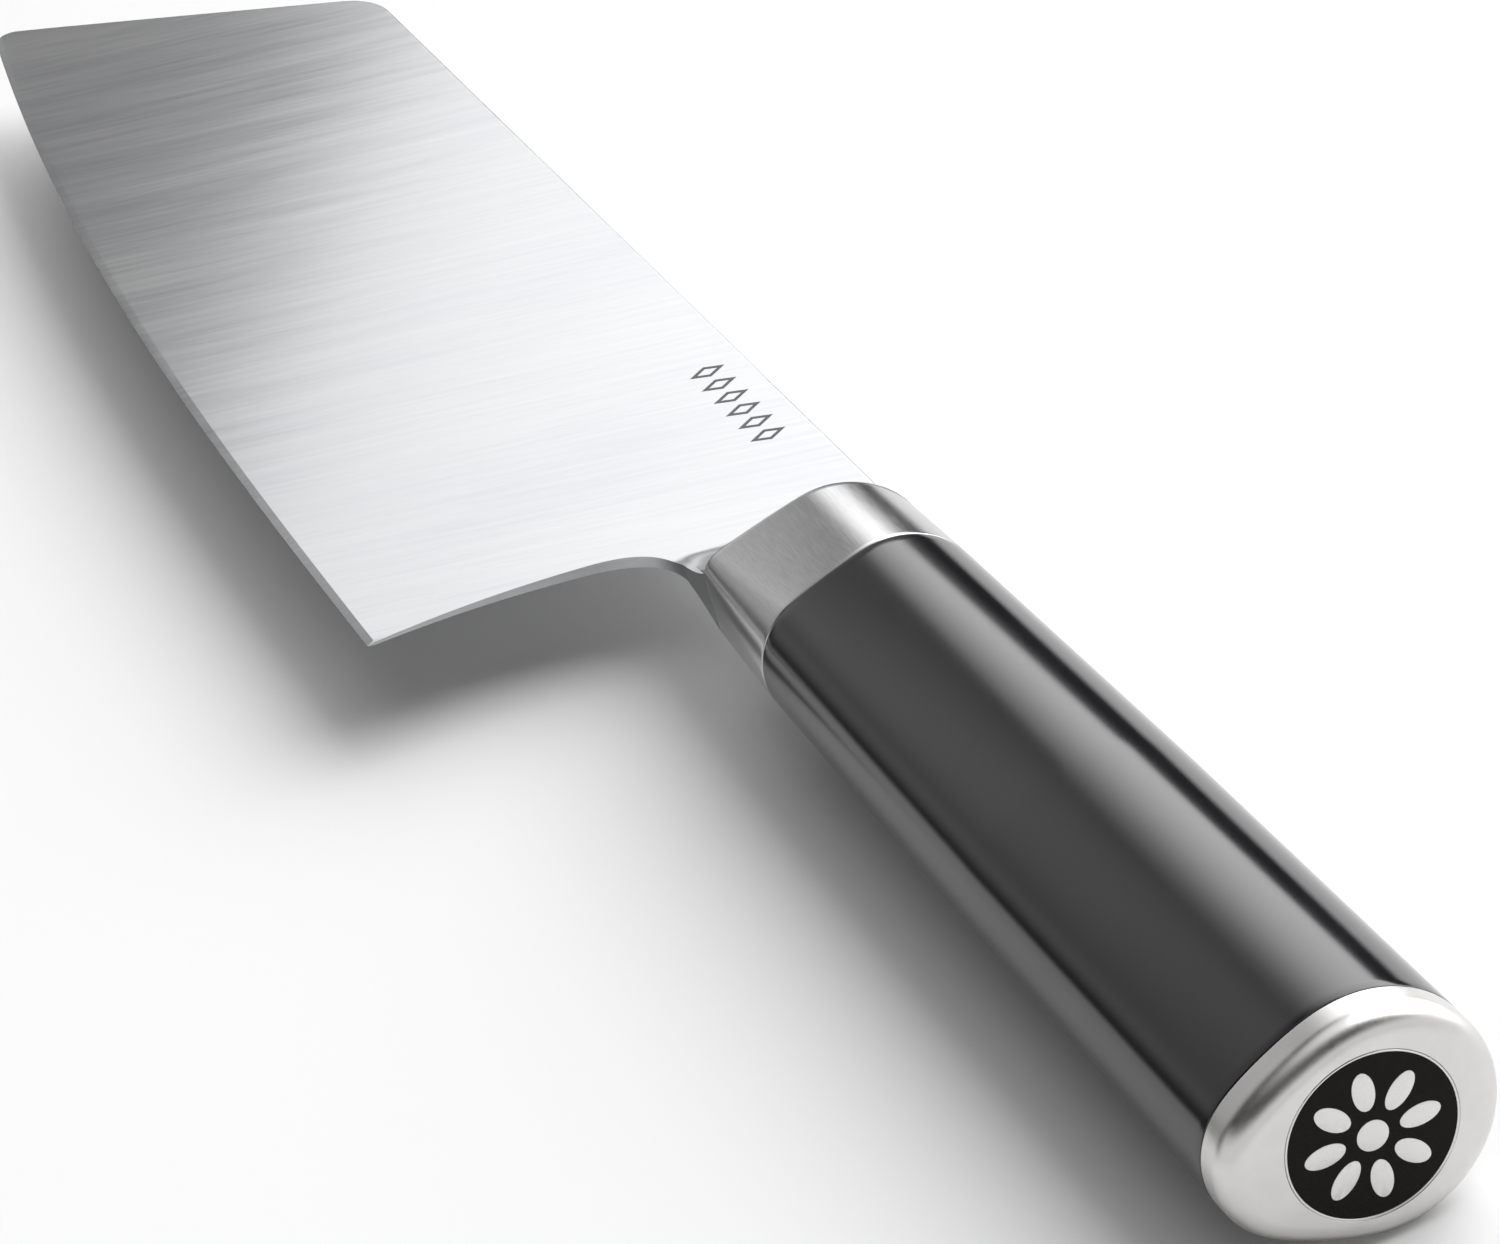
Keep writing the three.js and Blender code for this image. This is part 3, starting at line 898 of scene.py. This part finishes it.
def make_floor():
    """Large pale floor with a painted pool of light: its colour dims a little away from the
    knife.
    """
    work = bmesh.new()
    square = ((-1, -1), (1, -1), (1, 1), (-1, 1))
    work.faces.new([work.verts.new((x * FLOOR_HALF, y * FLOOR_HALF, 0)) for x, y in square])
    mesh = bpy.data.meshes.new("floor")
    work.to_mesh(mesh)
    work.free()
    floor = bpy.data.objects.new("floor", mesh)
    floor.location.z = cad_box[0][2]
    bpy.context.scene.collection.objects.link(floor)
    look = Look("pale_floor", Roughness=0.9)
    haze = look.noise((900, 900, 900), detail=2)
    pale = look.ramp(look.remap(haze, 0, 1), (0.78, 0.78, 0.78), (0.80, 0.80, 0.80))
    away = look.add("ShaderNodeVectorMath", operation="LENGTH")
    look.link(look.coordinates, away.inputs[0])
    # painted pool of light: the floor's colour is darkened away from the knife
    painted_pool = look.blend(away.outputs["Value"], 1.0, FLOOR_POOL_EDGE, FLOOR_POOL_RANGE)
    look.link(look.scaled(pale, painted_pool), look.shader.inputs["Base Color"])
    dress(floor, look.material)


def heading(azimuth, elevation):
    """Direction at an azimuth from -X toward +Y and an elevation, in degrees."""
    a, e = math.radians(azimuth), math.radians(elevation)
    return Vector((-math.cos(a) * math.cos(e), math.sin(a) * math.cos(e), math.sin(e)))


def soft_box(name, azimuth, elevation, distance, size, radiance):
    """Rectangular soft box that faces the knife."""
    light = bpy.data.lights.new(name, "AREA")
    light.shape = "RECTANGLE"
    light.size, light.size_y = size
    light.energy = radiance * math.pi * size[0] * size[1]
    lamp = bpy.data.objects.new(name, light)
    direction = heading(azimuth, elevation)
    lamp.location = direction * distance
    lamp.rotation_euler = direction.to_track_quat("Z", "Y").to_euler()
    bpy.context.scene.collection.objects.link(lamp)


class Sky(Nodes):
    """Studio surroundings as smooth bright fields over a dim ground level."""

    def __init__(self, level):
        self.world = bpy.data.worlds.new("studio")
        super().__init__(self.world)
        self.direction = self.add("ShaderNodeTexCoord").outputs["Generated"]
        self.total = level

    def side(self, axis, dark, bright):
        """0 to 1 as a direction turns toward an axis, between two cosines."""
        return self.blend(self.dot(self.direction, axis), 0, 1, (dark, bright))

    def shine(self, level, *fields):
        """Adds light of that level where all the fields overlap."""
        sides = [self.side(*field) for field in fields]
        for side in sides:
            level = self.math("MULTIPLY", level, side)
        self.total = self.math("ADD", self.total, level)

    def finish(self):
        background = self.tree.nodes["Background"]
        self.link(self.total, background.inputs["Strength"])
        background.inputs["Color"].default_value = (1, 1, 1, 1)
        bpy.context.scene.world = self.world


SKY_LEVEL = 0.02  # everywhere
# Each light of the sky: its level and the fields that bound it, every field as an
# axis and the cosines to it between which the light grows from nothing to full.
SKY_FIELDS = (
    # graded key panel with a slanted lower edge, ahead of the toe on the spine side
    (3.2, ((0, 0.482, 0.876), 0.47, 0.50), (heading(50, 15), 0.50, 1.0)),
    # fill panel on the edge side, and the dim wall between the two
    (0.45, (heading(-30, 27), 0.90, 0.98)),
    (0.35, (heading(4, 20), 0.85, 0.97)),
    # ceiling right above the knife
    (1.0, ((0, 0, 1), 0.85, 0.98)),
    # low glow ahead of the toe, and a faint one beside it on the edge side
    (1.0, (heading(0, 4), 0.93, 0.99)),
    (0.1, (heading(-36, 3), 0.93, 0.99)),
    # soft walls behind the butt and to both sides, below a darker ceiling
    (0.9, ((1, 0, 0), -0.55, -0.1), ((0, 0, 1), 0.56, 0.26)),
)

CAMERA_AT = (584.4, -169.1, 371.1)  # in the knife's frame, mm
CAMERA_TURN = (58.078, 12.920, 67.239)  # degrees
CAMERA_LENS = 157.21
CAMERA_SENSOR = 36


def make_camera():
    camera = bpy.data.cameras.new("camera")
    camera.sensor_width = CAMERA_SENSOR
    camera.lens = CAMERA_LENS
    camera.clip_start = 0.05
    camera.clip_end = 50
    eye = bpy.data.objects.new("camera", camera)
    eye.location = Vector(place([CAMERA_AT])[0])
    eye.rotation_euler = Euler([math.radians(a) for a in CAMERA_TURN], "XYZ")
    bpy.context.scene.collection.objects.link(eye)
    bpy.context.scene.camera = eye


# ---------------------------------------------------------------- assembly
make_camera()
dress(make_blade(), blade_look())
dress(make_collar(), collar_look())
dress(make_grip(), grip_look())
dress(make_end_cap(), cap_look())
dress(make_disc(), coin_look())
dress(make_enamel(), enamel_look())
dress(make_marks(), mark_look())

steel = hidden_metal_look("mill_steel", (0.38, 0.39, 0.40), (0.52, 0.53, 0.54))
brass = hidden_metal_look("turned_brass", (0.50, 0.36, 0.14), (0.62, 0.46, 0.20))
for hidden in ("tang_bar", "tang_stud", "stud_washer"):
    dress_node(hidden, steel)
dress_node("stud_nut", brass)
dress_node("tang_bedding", resin_look())

make_floor()
sky = Sky(SKY_LEVEL)
for level, *fields in SKY_FIELDS:
    sky.shine(level, *fields)
sky.finish()
soft_box("top_box", 100, 50, 1.3, (1.1, 1.1), 3.8)
bpy.context.scene.view_settings.view_transform = "Standard"
